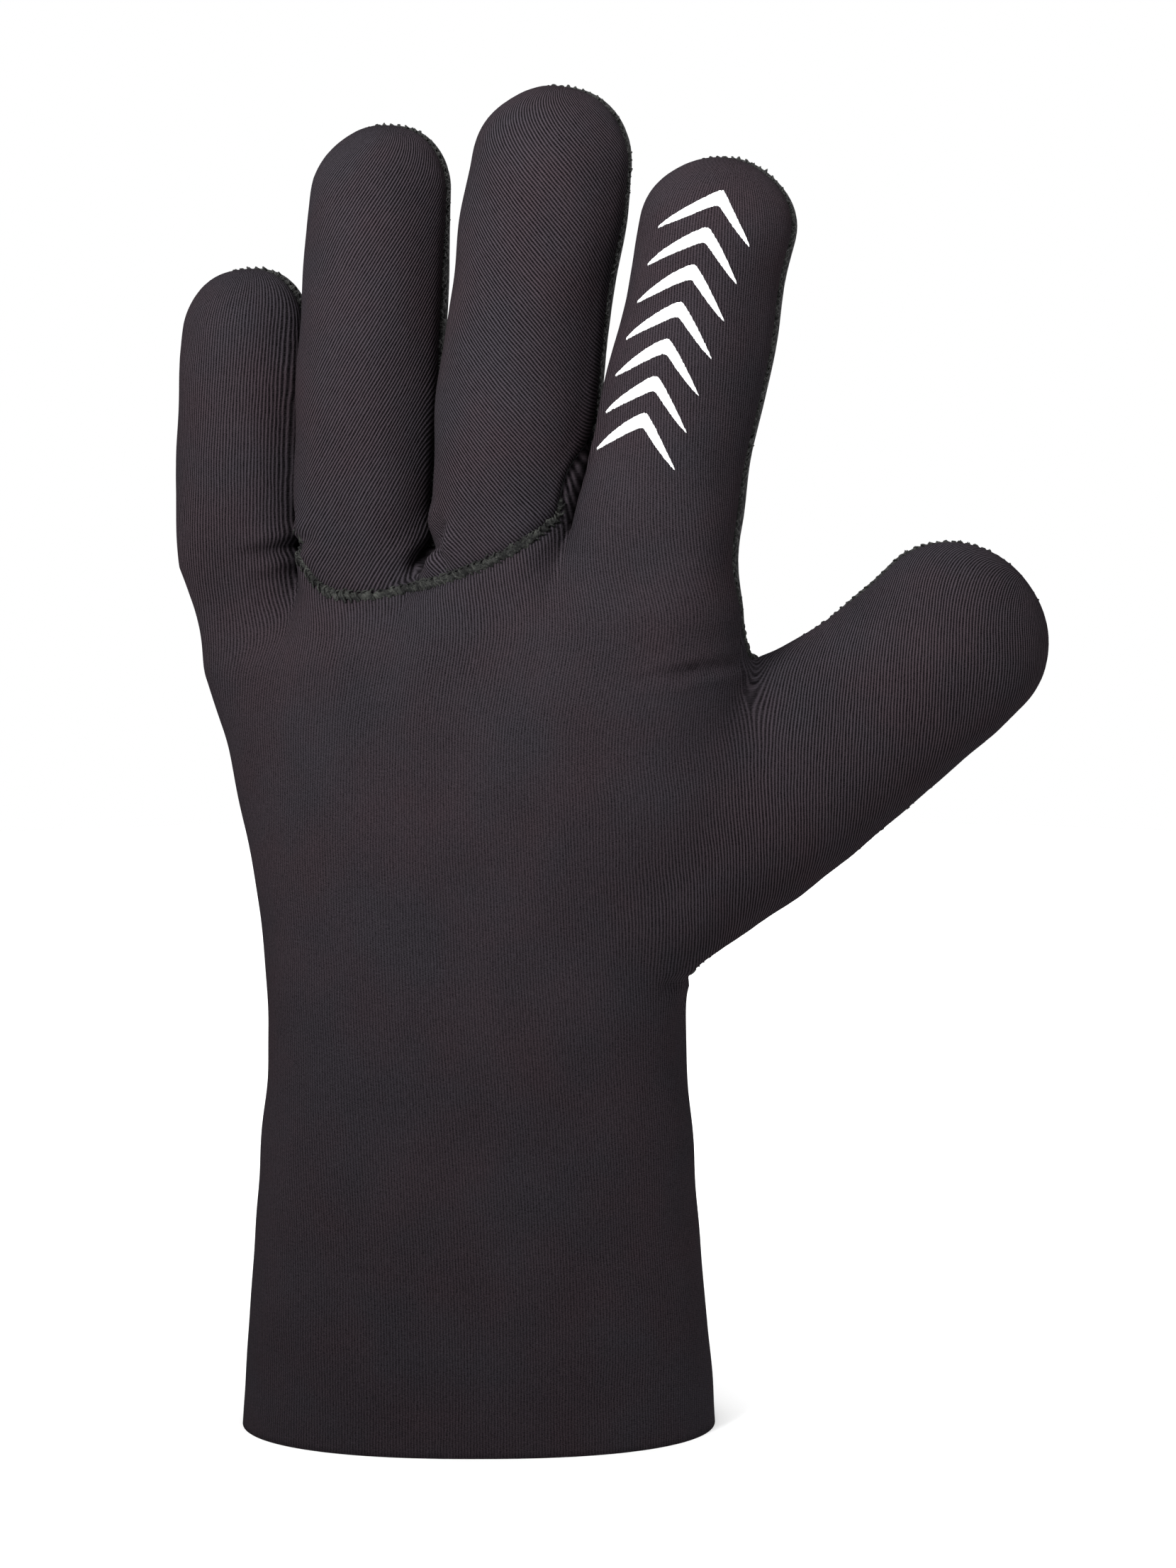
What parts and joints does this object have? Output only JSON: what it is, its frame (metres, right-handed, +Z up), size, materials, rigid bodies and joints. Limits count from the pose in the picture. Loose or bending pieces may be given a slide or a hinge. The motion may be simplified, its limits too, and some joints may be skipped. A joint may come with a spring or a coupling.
{
  "type": "diving glove",
  "caption": "Long-cuffed thick neoprene diving glove for the left hand, filled out and standing on its rim, with sewn back, finger and grip palm panels and chevrons on the index finger.",
  "frame": {"origin": "bottom centre of the glove's box, in the plane of the cuff's rim", "axes": "+Z up along the cuff and fingers, +X towards the thumb, +Y towards the palm, so the back of the hand faces -Y"},
  "size_m": [0.189, 0.0678, 0.2919],
  "materials": {
    "jersey": "ribbed nylon jersey on neoprene",
    "grip": "rough grip fabric on neoprene",
    "film": "matt printed film"
  },
  "bodies": {
    "root": {"back_panel": "jersey", "middle_ring_panel": "jersey", "palm_panel": "grip", "chevron_1": "film", "chevron_2": "film", "chevron_3": "film", "chevron_4": "film", "chevron_5": "film", "chevron_6": "film", "chevron_7": "film"}
  },
  "joints": []
}
